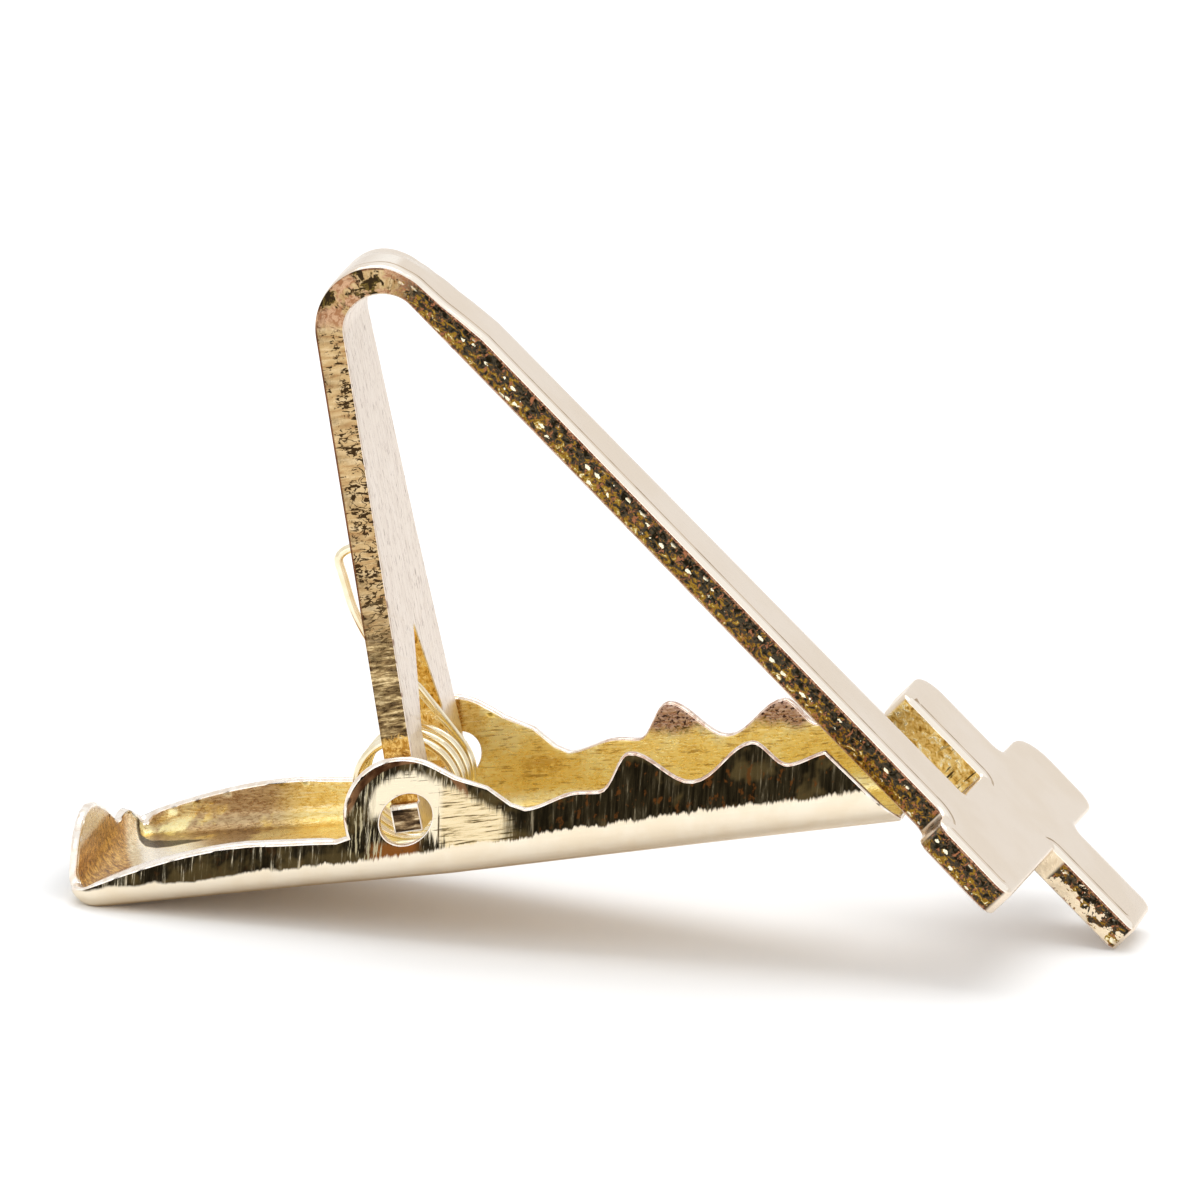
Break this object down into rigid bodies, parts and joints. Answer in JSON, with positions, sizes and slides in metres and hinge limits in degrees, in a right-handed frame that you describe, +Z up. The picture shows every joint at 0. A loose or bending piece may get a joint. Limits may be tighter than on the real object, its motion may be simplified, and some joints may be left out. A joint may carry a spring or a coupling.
{
  "type": "tie bar",
  "caption": "Sprung tie bar: a slim bar bent over into a leg, with a flat Latin cross at its tip, hinged in a toothed folded jaw with a thumb tab.",
  "frame": {"origin": "middle of the bounding box's bottom, on the surface that the clip stands on", "axes": "+X from the tail to the tip, +Y along the cross's stem to its top, +Z up"},
  "size_m": [0.0506, 0.0226, 0.0325],
  "materials": {
    "plated_bar": "pale gold plate, smooth faces and rough cut edges",
    "plated_jaw": "pale gold plate, brushed, darker yellow inside",
    "plated_wire": "pale gold plate on drawn spring wire"
  },
  "bodies": {
    "bar": {"front_bar": "plated_bar", "spring": "plated_wire"},
    "jaw": {"jaw": "plated_jaw"}
  },
  "joints": [
    {"name": "jaw_hinge", "type": "hinge", "parent": "bar", "child": "jaw", "pos_m": [-0.00871, -0.00428, 0.00612], "axis": [0, 1, 0], "range_deg": [0, 20], "stiffness_Nm_per_rad": 0.02, "springref_deg": -45.84, "deforming": ["spring"]}
  ]
}
